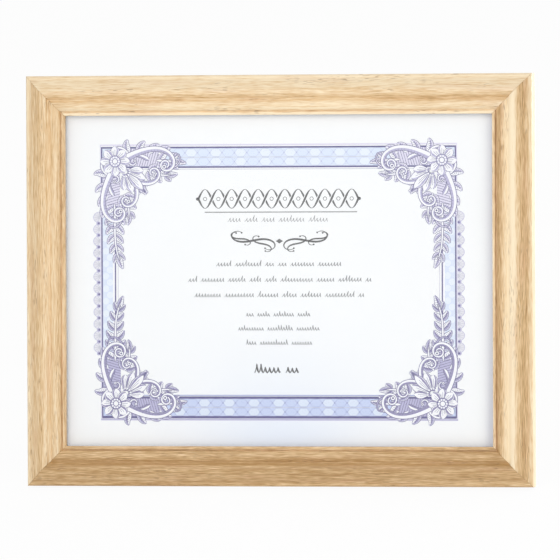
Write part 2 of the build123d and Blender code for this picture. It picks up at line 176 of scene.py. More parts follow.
class PrintSettings(PropertyGroup):
    """Sizes and inks of the printed sheet."""

    half_width: length_property(
        "Half width", "From the middle to the border's outer line at the sides", 111.9 * MM
    )
    half_height: length_property(
        "Half height", "From the middle to the border's outer line at top and bottom",
        84.2 * MM,
    )
    drop: length_property(
        "Drop", "How far the print sits below the middle of the sheet", 1.0 * MM
    )
    shift: length_property(
        "Shift", "How far the print sits to the left of the middle of the sheet", 0.7 * MM
    )
    band_height: length_property("Band height", "Top and bottom bands", 12.25 * MM)
    band_width: length_property("Band width", "Side bands", 8.5 * MM)
    line_width: length_property("Line width", "The border's violet lines", 1.0 * MM)
    layer: length_property("Ink layer", "Height of one layer of ink", 0.004 * MM)
    paper: colour_property("Paper", "White sheet", (252, 253, 254))
    # Painted bluish shade that grows towards the foot of the sheet
    painted_foot_shade: colour_property("Wash", "Bluish foot of the sheet", (232, 240, 255))
    # Painted shade along the edges of the opening and the right side of the sheet
    rim: colour_property("Rim", "Greyish edges of the sheet", (214, 216, 226))
    fibres: colour_property("Fibres", "Fibres of the sheet", (216, 214, 208))
    violet: colour_property("Violet", "Lines and outlines", (66, 58, 128))
    lilac: colour_property("Lilac", "Fill of the scrollwork", (225, 221, 240))
    shade: colour_property("Shade", "Shaded side of the scrollwork", (184, 180, 214))
    # Painted shade: the darker shaded side of the lower corners
    plum: colour_property("Plum", "Shaded side at the lower corners", (138, 132, 176))
    light: colour_property("Light", "Lit side of the scrollwork", (251, 251, 255))
    sky: colour_property("Pale blue", "Fill of the bands", (221, 231, 249))
    # Painted shade: the bottom band's fill, darker than the top band's
    dusk: colour_property("Dusk", "Fill of the bottom band", (199, 211, 243))
    mist: colour_property("Mist", "Lattice cells in the bands", (222, 233, 252))
    haze: colour_property("Haze", "The other lattice cells", (234, 242, 253))
    frost: colour_property("Frost", "Outlines and knots of the lattice", (190, 198, 230))
    # Painted shade: the bottom band's lattice, darker than the top band's
    slate: colour_property("Slate", "Lattice of the bottom band", (150, 160, 208))
    rule: colour_property("Rule", "Thin grey rules", (204, 204, 216))
    shell: colour_property("Shell", "Fill of the lace", (229, 228, 237))
    dark: colour_property("Dark grey", "Title band and size line", (66, 66, 68))
    grey: colour_property("Grey", "Wording lines", (120, 120, 122))


class FittingSettings(PropertyGroup):
    """Colours of the boards and the steel."""

    pane_index: number_property(
        "Pane index", "Refractive index behind the pane's reflection", 1.42, min=1, max=2
    )
    hardboard: colour_property("Hardboard", "Backing board and leg", (134, 98, 66))
    grey_board: colour_property("Grey board", "Filler", (158, 154, 146))
    zinc: colour_property("Zinc", "Bright zinc plate", (206, 208, 210))
    brass: colour_property("Yellow plate", "Screws, nails, rivets", (216, 184, 118))
    blue_steel: colour_property("Blue steel", "V-nails", (120, 126, 138))


class StageSettings(PropertyGroup):
    """Camera, lamps and floor."""

    distance: length_property("Distance", "From the camera to the face", 4.6)
    lens: number_property(
        "Lens", "Focal length for a picture 36 mm wide", 475.7, min=1, unit="CAMERA"
    )
    yaw: angle_property("Yaw", "How far the camera stands to the right of square", 10.1)
    pitch: angle_property("Pitch", "How far the camera stands above square", 0.73)
    roll: angle_property("Roll", "Turn of the camera about its own axis", 0.24)
    aim_right: number_property(
        "Aim right", "Where the camera looks, from the middle to the right", 2.12 * MM,
        subtype="DISTANCE",
    )
    aim_up: number_property(
        "Aim up", "Where the camera looks, from the middle upwards", 0.48 * MM,
        subtype="DISTANCE",
    )
    key_power: power_property(
        "Top lamp", "Power of the soft lamp before the face, a little above it", 1.45
    )
    side_power: power_property(
        "Side lamp", "Power of the soft lamp behind the right side", 15.0
    )
    sky_strength: factor_property("Sky", "Strength of the plain light all round", 0.645)
    floor_glow: factor_property(
        "Floor glow", "Share of the floor that shows as plain white", 0.95
    )


class Maths:
    """A shader socket that takes Python's operators, so that sums read as they are meant."""

    def __init__(self, finish, socket):
        self.finish = finish
        self.socket = socket

    def run(self, operation, *values, clamp=False):
        return self.finish.add(
            "ShaderNodeMath",
            dict(enumerate(values)),
            settings={"operation": operation, "use_clamp": clamp},
        )

    def __add__(self, other):
        return self.run("ADD", self, other)

    def __radd__(self, other):
        return self.run("ADD", other, self)

    def __sub__(self, other):
        return self.run("SUBTRACT", self, other)

    def __rsub__(self, other):
        return self.run("SUBTRACT", other, self)

    def __mul__(self, other):
        return self.run("MULTIPLY", self, other)

    def __rmul__(self, other):
        return self.run("MULTIPLY", other, self)

    def __truediv__(self, other):
        return self.run("DIVIDE", self, other)

    def __rtruediv__(self, other):
        return self.run("DIVIDE", other, self)

    def held(self):
        """The value kept between 0 and 1."""
        return self.run("ADD", self, 0.0, clamp=True)

    def rise(self, low, high):
        """A smooth step from 0 at the low value to 1 at the high one."""
        return self.finish.add(
            "ShaderNodeMapRange",
            {0: self, 1: low, 2: high},
            settings={"interpolation_type": "SMOOTHSTEP"},
        )


class Finish:
    """One material and its nodes."""

    owners, output = "materials", "ShaderNodeOutputMaterial"

    def __init__(self, name):
        self.owner = getattr(bpy.data, self.owners).new(name)
        self.owner.use_nodes = True
        self.tree = self.owner.node_tree
        self.tree.nodes.clear()

    def add(self, kind, inputs=None, output=0, settings=None):
        """Adds a node, sets it up, then feeds its sockets with values or links."""
        node = self.tree.nodes.new(kind)
        for key, value in (settings or {}).items():
            setattr(node, key, value)
        for key, value in (inputs or {}).items():
            socket = node.inputs[key]
            if isinstance(value, Maths):
                self.tree.links.new(value.socket, socket)
            elif hasattr(value, "__len__") and socket.type == "RGBA":
                socket.default_value = (*tuple(value)[:3], 1.0)
            else:
                socket.default_value = value
        return Maths(self, node.outputs[output])

    def mix(self, factor, first, second):
        """A colour between two colours."""
        return self.add(
            "ShaderNodeMix", {0: factor, 6: first, 7: second}, 2, {"data_type": "RGBA"}
        )

    def noise(self, vector, scale, detail, rough=0.5):
        """Even noise about 0, from about -0.5 to 0.5."""
        value = self.add(
            "ShaderNodeTexNoise",
            {"Vector": vector, "Scale": scale, "Detail": detail, "Roughness": rough},
        )
        return value - 0.5

    def point(self):
        """The piece's own coordinates, in metres."""
        return self.add("ShaderNodeTexCoord", output=3)

    def attribute(self, name, output="Fac"):
        """What the piece's own attribute says at each point."""
        return self.add("ShaderNodeAttribute", None, output, {"attribute_name": name})

    def seen(self):
        """1 where the camera, a reflection or the pane looks, and 0 for all other light."""
        path = self.add("ShaderNodeLightPath").socket.node
        ways = ("Is Camera Ray", "Is Glossy Ray", "Is Transmission Ray")
        camera_ray, glossy_ray, clear_ray = (Maths(self, path.outputs[way]) for way in ways)
        return (camera_ray + glossy_ray + clear_ray).held()

    def bump(self, height, distance, strength):
        return self.add(
            "ShaderNodeBump",
            {"Strength": strength, "Distance": distance, "Height": height},
        )

    def surface(self, sockets):
        """Ends the material in a Principled shader with these sockets."""
        return self.end(self.add("ShaderNodeBsdfPrincipled", sockets))

    def end(self, shader):
        """Ends the material in a shader and gives the material back."""
        last = self.tree.nodes.new(self.output)
        self.tree.links.new(shader.socket, last.inputs["Surface"])
        return self.owner


class Surroundings(Finish):
    """The world and its nodes."""

    owners, output = "worlds", "ShaderNodeOutputWorld"


def give(node, material):
    """Puts a material on a CAD node."""
    piece = frame["nodes"][node]
    if not piece.material_slots:
        piece.data.materials.append(material)
    for slot in piece.material_slots:
        slot.material = material


def arc_points(points, count):
    """Points on the circle through three points, from the first through the second to the
    third: the centre is equally far from all three, and the angle goes evenly."""
    (ax, ay), (bx, by), (cx, cy) = points
    a, b, c = ax * ax + ay * ay, bx * bx + by * by, cx * cx + cy * cy
    twice = 2 * (ax * (by - cy) + bx * (cy - ay) + cx * (ay - by))
    x = (a * (by - cy) + b * (cy - ay) + c * (ay - by)) / twice
    y = (a * (cx - bx) + b * (ax - cx) + c * (bx - ax)) / twice
    angles = np.unwrap([math.atan2(q - y, p - x) for p, q in points])
    radius = math.hypot(ax - x, ay - y)
    turn = np.linspace(angles[0], angles[2], count)
    return np.column_stack((x + radius * np.cos(turn), y + radius * np.sin(turn)))


def flowing_points(points, first, last, count):
    """A curve through three points with given end directions: each half is a cubic whose
    end slopes are as long as its chord."""
    points = np.array(points)
    across = points[2] - points[0]
    across /= np.linalg.norm(across)
    slopes = (np.array(first) / np.linalg.norm(first), across, np.array(last))
    halves = []
    for number in (0, 1):
        start, end = points[number], points[number + 1]
        chord = np.linalg.norm(end - start)
        t = np.linspace(0, 1, count)[:, None]
        halves.append(
            (2 * t**3 - 3 * t**2 + 1) * start
            + (t**3 - 2 * t**2 + t) * chord * slopes[number]
            + (3 * t**2 - 2 * t**3) * end
            + (t**3 - t**2) * chord * slopes[number + 1]
        )
    return np.vstack((halves[0], halves[1][1:]))


def moulding_profile(settings):
    """The moulding's outline, inwards and forwards in metres, round from the outer back
    corner, and how many of its points are on the foil."""
    size = np.array((RAIL_WIDTH, RAIL_DEPTH))
    real = [
        np.array(shares) * size
        for shares in (
            ARRIS_SHARES, OGEE_SHARES, CROWN_SHARES, VALLEY_SHARES, CUSHION_SHARES,
            GROOVE_SHARES, LIP_SHARES,
        )
    ]
    arris, ogee, crown, valley, cushion, groove, lip = real
    face = np.vstack(
        (
            [(0.0, BACK_INSET), (0.0, arris[0][1] * 0.5)],
            arc_points(arris, 9),
            flowing_points(ogee, (1, 0.25), (1, 0), 15)[1:],
            arc_points(crown, 9)[1:],
            arc_points(valley, 11)[1:],
            arc_points(cushion, 21)[1:],
            groove[1:],
            arc_points(lip, 5)[1:],
            [(RAIL_WIDTH, RABBET_DEPTH)],
        )
    )
    land = RAIL_WIDTH - settings.rabbet_width
    back = np.array([(land, RABBET_DEPTH), (land, BACK_INSET)])
    return np.vstack((face, back)), len(face)


def tube_faces(stations, around):
    """Quads of a grid that closes on itself around, with a cap at each end."""
    index = np.arange(stations * around).reshape(stations, around)
    near, far = index[:-1], index[1:]
    quads = np.stack((near, far, np.roll(far, -1, 1), np.roll(near, -1, 1)), -1)
    return quads.reshape(-1, 4), index[0], index[-1, ::-1]


def linked(name, data):
    """An object in the scene for a mesh, a lamp or a camera."""
    piece = bpy.data.objects.new(name, data)
    bpy.context.scene.collection.objects.link(piece)
    return piece


def new_piece(name, points, faces, materials):
    """A mesh piece from points along the frame's own axes."""
    mesh = bpy.data.meshes.new(name)
    mesh.from_pydata((np.asarray(points) @ AXES).tolist(), [], faces)
    for material in materials:
        mesh.materials.append(material)
    piece = linked(name, mesh)
    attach(piece, "frame")
    return piece


def oak_foil(settings):
    """Printed oak grain on a satin foil. Noise drawn out along the rail, in four widths from
    broad zones to fibres and bent by slow waves, adds up to one tone, which runs from dark
    through middle to pale. Rosy patches and short pores lie over it."""
    oak = Finish("oak_foil")
    grain = oak.add("ShaderNodeUVMap", settings={"uv_map": "grain"})
    split = oak.add("ShaderNodeSeparateXYZ", {0: grain}).socket.node
    along, across = (Maths(oak, split.outputs[axis]) for axis in (0, 1))

    def streaks(long, wide, shift, detail=2.0, bend=None):
        sideways = across if bend is None else across + bend
        place = oak.add(
            "ShaderNodeCombineXYZ", {0: along / long, 1: sideways / wide, 2: shift}
        )
        return oak.noise(place, 1.0, detail, 0.55)

    wave = streaks(0.070, 0.016, 3.1) * 0.0045
    zones = streaks(0.150, 0.0060, 7.7, 2.0, wave)
    broad = streaks(0.060, 0.0020, 4.4, 2.0, wave)
    lines = streaks(0.018, 0.00068, 1.3, 2.0, wave)
    fibres = streaks(0.007, 0.00038, 5.9, 1.0, wave)
    patches = streaks(0.050, 0.0060, 9.2, 2.0)
    pores = streaks(0.0050, 0.00050, 2.2, 0.0, wave)
    crowd = streaks(0.040, 0.0050, 4.6, 1.0, wave)

    tone = 0.52 + zones * 0.5 + broad * 0.45 + lines * 1.2 + fibres * 1.2
    # Each rail's tone attribute adds painted light and shade to the grain's own tone
    tone = tone + oak.attribute("tone")
    colour = oak.mix((tone * 2.0).held(), settings.oak_dark, settings.oak_middle)
    colour = oak.mix((tone * 2.0 - 1.0).held(), colour, settings.oak_pale)
    colour = oak.mix((patches * 3.0 - 0.15).held() * 0.5, colour, settings.oak_rose)
    deep = pores.rise(0.10, 0.22) * crowd.rise(-0.02, 0.16)
    colour = oak.mix(deep * 0.50, colour, settings.oak_pore)
    height = lines * 0.3 + fibres * 0.5 - deep
    return oak.surface(
        {
            "Base Color": colour,
            "Roughness": 0.36 + lines * 0.12 + deep * 0.2,
            "Normal": oak.bump(height, 0.04 * MM, 0.6),
        }
    )


def core_board(settings):
    """Bare fibreboard with fine fibres, for the back of the mouldings."""
    core = Finish("core_board")
    place = core.point()
    fibres = core.noise(place, 1400.0, 4.0, 0.7)
    clouds = core.noise(place, 90.0, 2.0)
    dim = tuple(value * 0.72 for value in settings.core)
    colour = core.mix((0.5 + fibres * 1.6 + clouds * 0.6).held(), dim, settings.core)
    return core.surface(
        {
            "Base Color": colour,
            "Roughness": 0.82 + fibres * 0.2,
            "Normal": core.bump(fibres, 0.12 * MM, 0.5),
        }
    )


def grain_map(run, profile, turn):
    """Each face corner's place on the printed grain: along the rail, and round the profile as
    the running sum of its steps, so that the grain follows the surface. Both caps lie at one
    place of it."""
    rows = np.arange(len(run) - 1).repeat(len(profile))
    column = np.tile(np.arange(len(profile)), len(run) - 1)
    beside = (column + 1) % len(profile)
    along = run[rows[:, None] + (0, 1, 1, 0), np.stack((column, column, beside, beside), -1)]
    step = np.linalg.norm(np.diff(np.vstack((profile, profile[:1])), axis=0), axis=1)
    girth = np.concatenate(((0.0,), np.cumsum(step)))
    around = girth[column[:, None] + (0, 0, 1, 1)]
    caps = np.zeros(2 * len(profile))
    return np.column_stack(
        (np.concatenate((along.ravel(), caps)) + turn, np.concatenate((around.ravel(), caps)))
    )


def rail_tone_with_painted_light(inset, painted_tones):
    """The foil's tone at an inset, with light and shade painted into it: the rail's own one,
    partly painted light, paler at the top and darker at the bottom, plus a painted stripe of
    highlight or shade and a painted highlight at the outer rim, both Gaussians of the share
    of the rail's width, plus the lip's painted light."""
    whole, place, painted_stripe, rim, lip = painted_tones
    share = inset / RAIL_WIDTH
    tone = whole + painted_stripe * np.exp(-(((share - place) / PAINTED_STRIPE_REACH) ** 2))
    return tone + rim * np.exp(-((share / PAINTED_RIM_REACH) ** 2)) + lip * (share > LIP_SHARE)


def rail_mesh(name, node, middle, along, length, turn, painted_tones, materials, settings):
    """A mitred moulding: the profile carried along its rail. A point at a profile's inset w
    runs to half the length less w, so both ends are cut at 45 degrees. The last ring stands
    back by the mitre gap and dips by half the ease."""
    profile, face_count = moulding_profile(settings)
    inset, rise = profile[:, 0], profile[:, 1]
    reach = length / 2 - inset - settings.mitre_gap
    share = np.linspace(-1, 1, RINGS)[:, None]
    inner = share * (reach - settings.mitre_ease)
    run = np.vstack((-reach[None], inner, reach[None]))
    dip = np.zeros(run.shape)
    dip[(0, -1), :] = settings.mitre_ease * 0.5 * (rise > RABBET_DEPTH)
    along = np.array(along)
    inward = np.array((-along[1], along[0]))
    flat = np.array(middle) + run[..., None] * along + inset[None, :, None] * inward
    points = np.dstack((flat, rise[None] - dip)).reshape(-1, 3)

    quads, first, last = tube_faces(len(run), len(profile))
    faces = quads.tolist() + [first.tolist(), last.tolist()]
    piece = new_piece(name, points, faces, materials)
    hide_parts(node)

    mesh = piece.data
    bare = np.tile(np.arange(len(profile)) >= face_count - 1, len(run) - 1)
    bare = np.concatenate((bare, (True, True)))
    mesh.polygons.foreach_set("material_index", bare.astype(np.int32))
    grain = grain_map(run, profile, turn)
    mesh.uv_layers.new(name="grain").data.foreach_set("uv", grain.ravel())
    # The tone attribute carries painted light and shade along with each rail's own tone
    tone = np.tile(rail_tone_with_painted_light(inset, painted_tones), len(run))
    shade = mesh.attributes.new("tone", "FLOAT", "POINT")
    shade.data.foreach_set("value", tone.astype(np.float32))
    mesh.shade_smooth()
    mesh.set_sharp_from_angle(angle=CREASE)
    mesh.update()


class FRAME_OT_oak_mouldings(Operator):
    """The four mitred mouldings with their oak-look foil and bare backs"""

    bl_idname = "certificate_frame.oak_mouldings"
    bl_label = "Oak-look mouldings"

    def execute(self, context):
        settings = context.scene.frame_moulding
        materials = (oak_foil(settings), core_board(settings))
        half = FRAME_WIDTH / 2
        # For each rail the middle of its outer edge, the way it runs, its length and its
        #         # tones, which paint light and shade into the foil: the whole rail's, paler at the top
        #         # and darker at the bottom, a painted stripe's place and strength, a highlight on the
        #         # right rail and shade in the valleys of the top and bottom rails, the outer rim's
        #         # painted highlight, the lip's painted light
        rails = (
            ("bottom", (0, 0), (1, 0), FRAME_WIDTH, (-0.24, 0.54, -0.28, 0.0, 0.06)),
            ("right", (half, MIDDLE), (0, 1), FRAME_HEIGHT, (-0.33, 0.54, 1.16, 0.62, 0.50)),
            ("top", (0, FRAME_HEIGHT), (-1, 0), FRAME_WIDTH, (0.36, 0.55, -0.36, 0.10, 0.40)),
            ("left", (-half, MIDDLE), (0, -1), FRAME_HEIGHT, (-0.03, 0.62, 0.16, 0.40, -0.05)),
        )
        for number, (side, middle, along, length, painted_tones) in enumerate(rails):
            rail_mesh(
                f"{side}_moulding", f"{side}_rail", middle, along, length,
                GRAIN_START + GRAIN_STEP * number, painted_tones, materials, settings,
            )
        return {"FINISHED"}


def satin_paper(settings):
    """White paper with fine fibres, painted bluish shade at its foot and painted shade at its rim."""
    paper = Finish("satin_paper")
    place = paper.point()
    fibres = paper.noise(place, 2600.0, 3.0)
    clouds = paper.noise(place, 60.0, 2.0)
    cover = (0.04 - fibres * 0.08 - clouds * 0.05).held()
    # Painted shade: bluish towards the foot, greyish along the opening's edges and right side
    painted_shade_tint = paper.mix(paper.attribute("foot"), settings.paper, settings.painted_foot_shade)
    painted_shade_tint = paper.mix(paper.attribute("rim"), painted_shade_tint, settings.rim)
    return paper.surface(
        {
            "Base Color": paper.mix(cover, painted_shade_tint, settings.fibres),
            "Roughness": 0.6 + fibres * 0.1,
            "Normal": paper.bump(fibres, 0.01 * MM, 0.3),
        }
    )


def grid_faces(index):
    """Quads between the neighbours of a grid of points."""
    a, b = index[:-1, :-1], index[1:, :-1]
    c, d = index[1:, 1:], index[:-1, 1:]
    return np.stack((a, b, c, d), -1).reshape(-1, 4)


def sheet_surface():
    """Points and faces of the sheet: a grid whose top dips by a share of the swell, which is
    a sine across times a cosine up, a flat grid at its back, and walls between their edges."""
    across = np.linspace(SHEET_LOW[0], SHEET_HIGH[0], SHEET_GRID[0])
    up = np.linspace(SHEET_LOW[1], SHEET_HIGH[1], SHEET_GRID[1])
    x, y = np.meshgrid(across, up, indexing="ij")
    swell = 0.5 + 0.5 * np.sin(x / SWELL_ACROSS) * np.cos(y / SWELL_UP)
    upper = np.dstack((x, y, PAPER_TOP - PAPER_SWELL * swell))
    lower = np.dstack((x, y, np.full_like(x, SHEET_LOW[2])))
    index = np.arange(x.size).reshape(x.shape)
    edge = np.concatenate((index[:, 0], index[-1, 1:], index[-2::-1, -1], index[0, -2:0:-1]))
    after = np.roll(edge, -1)
    walls = np.stack((edge + x.size, after + x.size, after, edge), -1)
    faces = np.vstack((grid_faces(index), grid_faces(index + x.size)[:, ::-1], walls))
    return np.vstack((upper.reshape(-1, 3), lower.reshape(-1, 3))), faces


def sheet_painted_shades(points):
    """Strengths of the sheet's two painted shades. The foot, a painted bluish shade, grows as
    the square of the drop below the middle and is a Gaussian of the distance sideways. The
    rim, painted shade where the lip stands over the sheet, is an exponential of the distance
    from the opening's edge, and a Gaussian of that from its right side, stronger towards the
    foot."""
    half_width, half_height = HALF_OPENING
    drop = np.clip((MIDDLE - points[:, 1]) / (MIDDLE - SHEET_LOW[1]), 0, 1)
    foot = drop**2 * np.exp(-((points[:, 0] / PAINTED_FOOT_SHADE_FADE) ** 2))
    right = np.clip(half_width - points[:, 0], 0, None)
    inside = np.minimum(half_width - abs(points[:, 0]), half_height - abs(points[:, 1] - MIDDLE))
    rim = 0.35 * np.exp(-np.clip(inside, 0, None) / PAINTED_RIM_FADE)
    rim += (0.75 + 0.5 * drop) * np.exp(-((right / PAINTED_RIGHT_SHADE_FADE) ** 2))
    return {"foot": foot, "rim": rim.clip(0, 1)}


class FRAME_OT_printed_sheet(Operator):
    """The white sheet that carries the print"""

    bl_idname = "certificate_frame.printed_sheet"
    bl_label = "Printed sheet"

    def execute(self, context):
        material = satin_paper(context.scene.frame_print)
        points, faces = sheet_surface()
        piece = new_piece(
            "certificate_sheet", points, faces.tolist(), (material,)
        )
        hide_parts("certificate_insert")
        for name, values in sheet_painted_shades(points).items():
            share = piece.data.attributes.new(name, "FLOAT", "POINT")
            share.data.foreach_set("value", values)
        return {"FINISHED"}


def flowing_path(start, heading, length, bend, tightening, stations):
    """A curve in millimetres whose heading, in degrees at its start, is the running sum of
    its bend. The bend goes from its first value to its last, in radians per millimetre, as a
    power of the share of the length, so that the end coils up."""
    share = np.linspace(0, 1, stations)
    turning = bend[0] + (bend[1] - bend[0]) * share**tightening
    step = length / (stations - 1)
    turned = np.concatenate(((0.0,), np.cumsum((turning[1:] + turning[:-1]) / 2))) * step
    angle = math.radians(heading) + turned
    angle = (angle[1:] + angle[:-1]) / 2
    steps = np.column_stack((np.cos(angle), np.sin(angle))) * step
    return np.vstack(((0.0, 0.0), np.cumsum(steps, 0))) + start


def double_coil(centre, heading, length, coil, stations=81):
    """A curve that coils at both ends: its bend is proportional to the distance from its
    middle, which lies at the centre with the given heading."""
    share = np.linspace(-1, 1, stations)
    angle = math.radians(heading) + coil * share**2
    angle = (angle[1:] + angle[:-1]) / 2
    steps = np.column_stack((np.cos(angle), np.sin(angle))) * length / (stations - 1)
    path = np.vstack(((0.0, 0.0), np.cumsum(steps, 0)))
    return path - path[stations // 2] + centre


def sideways(path):
    """Unit vectors to the left of a path."""
    direction = np.gradient(path, axis=0)
    direction /= np.linalg.norm(direction, axis=1)[:, None]
    return np.column_stack((-direction[:, 1], direction[:, 0]))


# How far the violet outline of the scrollwork stands out, in millimetres
OUTLINE = 0.34


class Drawing:
    """Bands of ink, in millimetres from the middle of the opening. A band has a left and a
    right edge with as many points, an ink and a layer."""

    def __init__(self):
        self.bands = []

    def band(self, left, right, ink, layer):
        self.bands.append((np.asarray(left, float), np.asarray(right, float), ink, layer))

    def lined(self, path, left, right, ink, layer):
        """A band along a path that reaches so far to its left and right."""
        normal = sideways(path)
        left = np.broadcast_to(left, len(path))[:, None]
        right = np.broadcast_to(right, len(path))[:, None]
        self.band(path + normal * left, path - normal * right, ink, layer)

    def stroke(self, path, width, ink, layer):
        half = np.maximum(width, 0.04) / 2
        self.lined(path, half, half, ink, layer)

    def outlined(self, path, half, layer):
        """A light band of so much half width, on a violet one that shows round it."""
        self.lined(path, half + OUTLINE, half + OUTLINE, "violet", layer)
        self.lined(path, half, half, "light", layer + 1)

    def bar(self, x_low, x_high, y_low, y_high, ink, layer):
        self.band(
            ((x_low, y_high), (x_high, y_high)), ((x_low, y_low), (x_high, y_low)), ink, layer
        )

    def ring(self, half_width, top, bottom, width, ink, layer, side_width=None):
        """Four bars along a rectangle, the side ones between the others."""
        tall = width / 2
        wide = (side_width or width) / 2
        for y in (top, bottom):
            self.bar(-half_width - wide, half_width + wide, y - tall, y + tall, ink, layer)
        for x in (-half_width, half_width):
            self.bar(x - wide, x + wide, bottom + tall, top - tall, ink, layer)

    def disc(self, centre, radius, ink, layer, stations=11):
        """A round dot, as a band whose half width is the sine of the share of a half turn."""
        turn = np.linspace(0.06, math.pi - 0.06, stations)
        along = centre[0] - radius * np.cos(turn)
        rise = radius * np.sin(turn)
        self.band(
            np.column_stack((along, centre[1] + rise)),
            np.column_stack((along, centre[1] - rise)),
            ink, layer,
        )

    def outlined_disc(self, centre, radius, ink, layer, stations=11):
        self.disc(centre, radius + OUTLINE, "violet", layer, stations)
        self.disc(centre, radius, ink, layer + 1, stations)

    def mirrored(self, right, up, shift, lift=0):
        """The same bands times a sign to the right and a sign upwards, then shifted, so many
        layers higher. One mirroring alone swaps the edges, so that the left one stays on the
        left."""
        other = Drawing()
        for left, right_edge, ink, layer in self.bands:
            pair = [edge * (right, up) + shift for edge in (left, right_edge)]
            other.band(*(pair if right * up > 0 else pair[::-1]), ink, layer + lift)
        return other

    def reinked(self, inks):
        """The same bands, some of their inks exchanged for others."""
        other = Drawing()
        for left, right, ink, layer in self.bands:
            other.band(left, right, inks.get(ink, ink), layer)
        return other

    def flipped(self):
        """The same bands mirrored in the falling diagonal."""
        other = Drawing()
        for left, right, ink, layer in self.bands:
            other.band(-right[:, ::-1], -left[:, ::-1], ink, layer)
        return other


def scroll(drawing, start, heading, length, bend, tightening, widths, layer, eye):
    """A scroll band with a dark outline, a pale ridge, a hatched shaded side and an eye. Its
    width goes from the first value to the last along its length."""
    path = flowing_path(start, heading, length, bend, tightening, 64)
    share = np.linspace(0, 1, len(path))
    width = widths[0] + (widths[1] - widths[0]) * share**0.8
    width = width * np.clip(share * 9 + 0.3, 0, 1)
    drawing.outlined(path, width / 2, layer)
    side = 1 if bend[1] > 0 else -1
    normal = sideways(path) * side
    drawing.stroke(path + normal * (width * 0.28)[:, None], width * 0.40, "shade", layer + 2)
    for station in range(6, 52, 2):
        span = normal[station] * width[station]
        tick = path[station] + span * np.array((0.06, 0.48))[:, None]
        drawing.stroke(tick, np.array((0.05, 0.20)), "violet", layer + 3)
    drawing.outlined_disc(path[-1], eye, "light", layer + 3)
    drawing.disc(path[-1], eye * 0.45, "violet", layer + 5)


def leaf(drawing, start, heading, length, bend, breadth, layer):
    """A pointed leaf on a curved spine, shaded on one side. Its breadth is a sine of a power
    of the share of the length."""
    path = flowing_path(start, heading, length, bend, 1.4, 15)
    share = np.linspace(0.02, 0.98, len(path))
    half = breadth * np.sin(np.pi * share**0.72) ** 0.8
    drawing.outlined(path, half, layer)
    side = 1 if bend[1] > 0 else -1
    drawing.lined(path, *(half * 0.05, half * 0.9)[::side], "lilac", layer + 2)
    drawing.lined(path, *(half * 0.05, half * 0.45)[::side], "shade", layer + 3)
    drawing.stroke(path[1:-3], 0.26, "violet", layer + 4)
    normal = sideways(path)
    for station in range(2, 11, 2):
        for sign in (1, -1):
            tip = path[station + 1] + normal[station + 1] * sign * half[station + 1] * 0.75
            drawing.stroke(np.array((path[station], tip)), 0.20, "violet", layer + 4)


def frond(drawing, start, heading, length, bend, reach, pairs, layer):
    """A frond: a tapering stem with pairs of leaves that curl outwards and grow shorter to
    its tip, and one leaf at the tip."""
    stations = 8 * pairs + 1
    path = flowing_path(start, heading, length, bend, 1.5, stations)
    direction = np.degrees(np.unwrap(np.arctan2(*np.gradient(path, axis=0).T[::-1])))
    for pair in range(pairs):
        station = 8 * pair + 2
        share = station / stations
        for sign in (1, -1):
            leaf(
                drawing, path[station], direction[station] + sign * (62 - 24 * share),
                reach * (1 - 0.4 * share), (sign * 0.02, -sign * 0.26), 2.3 - 0.8 * share,
                layer + pair % 2,
            )
    leaf(drawing, path[-5], direction[-5], reach * 0.9, (0.0, bend[1] * 1.5), 1.7, layer + 2)
    taper = np.linspace(1.6, 0.6, stations) * np.linspace(0.2, 8, stations).clip(0, 1)
    drawing.outlined(path, taper / 2, layer + 5)


def petal(drawing, centre, angle, reach, breadth, layer, inner=0.0):
    """A petal from a centre outwards, its half breadth a sine of a power of its length."""
    turn = math.radians(angle)
    direction = np.array((math.cos(turn), math.sin(turn)))
    share = np.linspace(0.01, 0.99, 17)
    path = np.array(centre) + direction * (inner + (reach - inner) * share)[:, None]
    half = breadth * np.sin(np.pi * share**1.35) ** 0.65
    drawing.outlined(path, half, layer)
    drawing.lined(path, half * -0.45, half * 0.85, "shade", layer + 2)
    for lean, end in ((0.0, -4), (0.42, -6), (-0.42, -6)):
        offset = sideways(path) * (half * lean)[:, None]
        drawing.stroke((path + offset)[2:end], 0.20, "violet", layer + 3)


def scrollwork_arm(reach):
    """One arm of a corner, along the band to the right: a hatched ground, fronds and a
    tendril behind, and four scrolls in front. The end frond's length sets how far the arm
    reaches."""
    arm = Drawing()
    arm.bar(9.0, 41.0, -11.6, -0.6, "lilac", 1)
    for x in np.arange(9.6, 41.0, 1.6):
        arm.stroke(np.array(((x - 1.6, -11.6), (x + 1.6, -0.6))), 0.26, "violet", 2)
    pairs = int(reach / 6)
    frond(arm, (35, -8), -4, reach, (0.01, -0.04), 9.5, pairs, 3)
    frond(arm, (29, -14), -26, 16, (0.02, 0.08), 7.5, 3, 3)
    frond(arm, (15, -17), -50, 14, (0.01, 0.07), 7.5, 3, 3)
    for x, heading in ((17, 112), (23.5, 80), (30, 58), (36, 40)):
        leaf(arm, (x, -3.5), heading, 9.0, (-0.02, -0.28), 2.2, 3)
    tendril = flowing_path((36, -12), -22, 24, (0.06, 0.42), 2.2, 40)
    arm.stroke(tendril, np.linspace(1.9, 0.9, 40), "violet", 10)
    arm.stroke(tendril, np.linspace(1.1, 0.25, 40), "lilac", 11)
    arm.disc(tendril[-1], 1.1, "violet", 11)
    arm.disc(tendril[-1], 0.7, "light", 12)
    scroll(arm, (13, -17), -28, 40, (0.012, 0.62), 2.6, (3.8, 0.9), 12, 1.1)
    scroll(arm, (8, -11), 34, 68, (-0.012, -0.62), 3.2, (5.0, 1.0), 18, 1.3)
    scroll(arm, (17, -5), 120, 18, (0.05, 0.80), 1.6, (2.8, 0.8), 14, 0.8)
    scroll(arm, (30, -7.5), 150, 22, (0.02, 0.72), 1.8, (2.6, 0.8), 12, 0.8)
    return arm


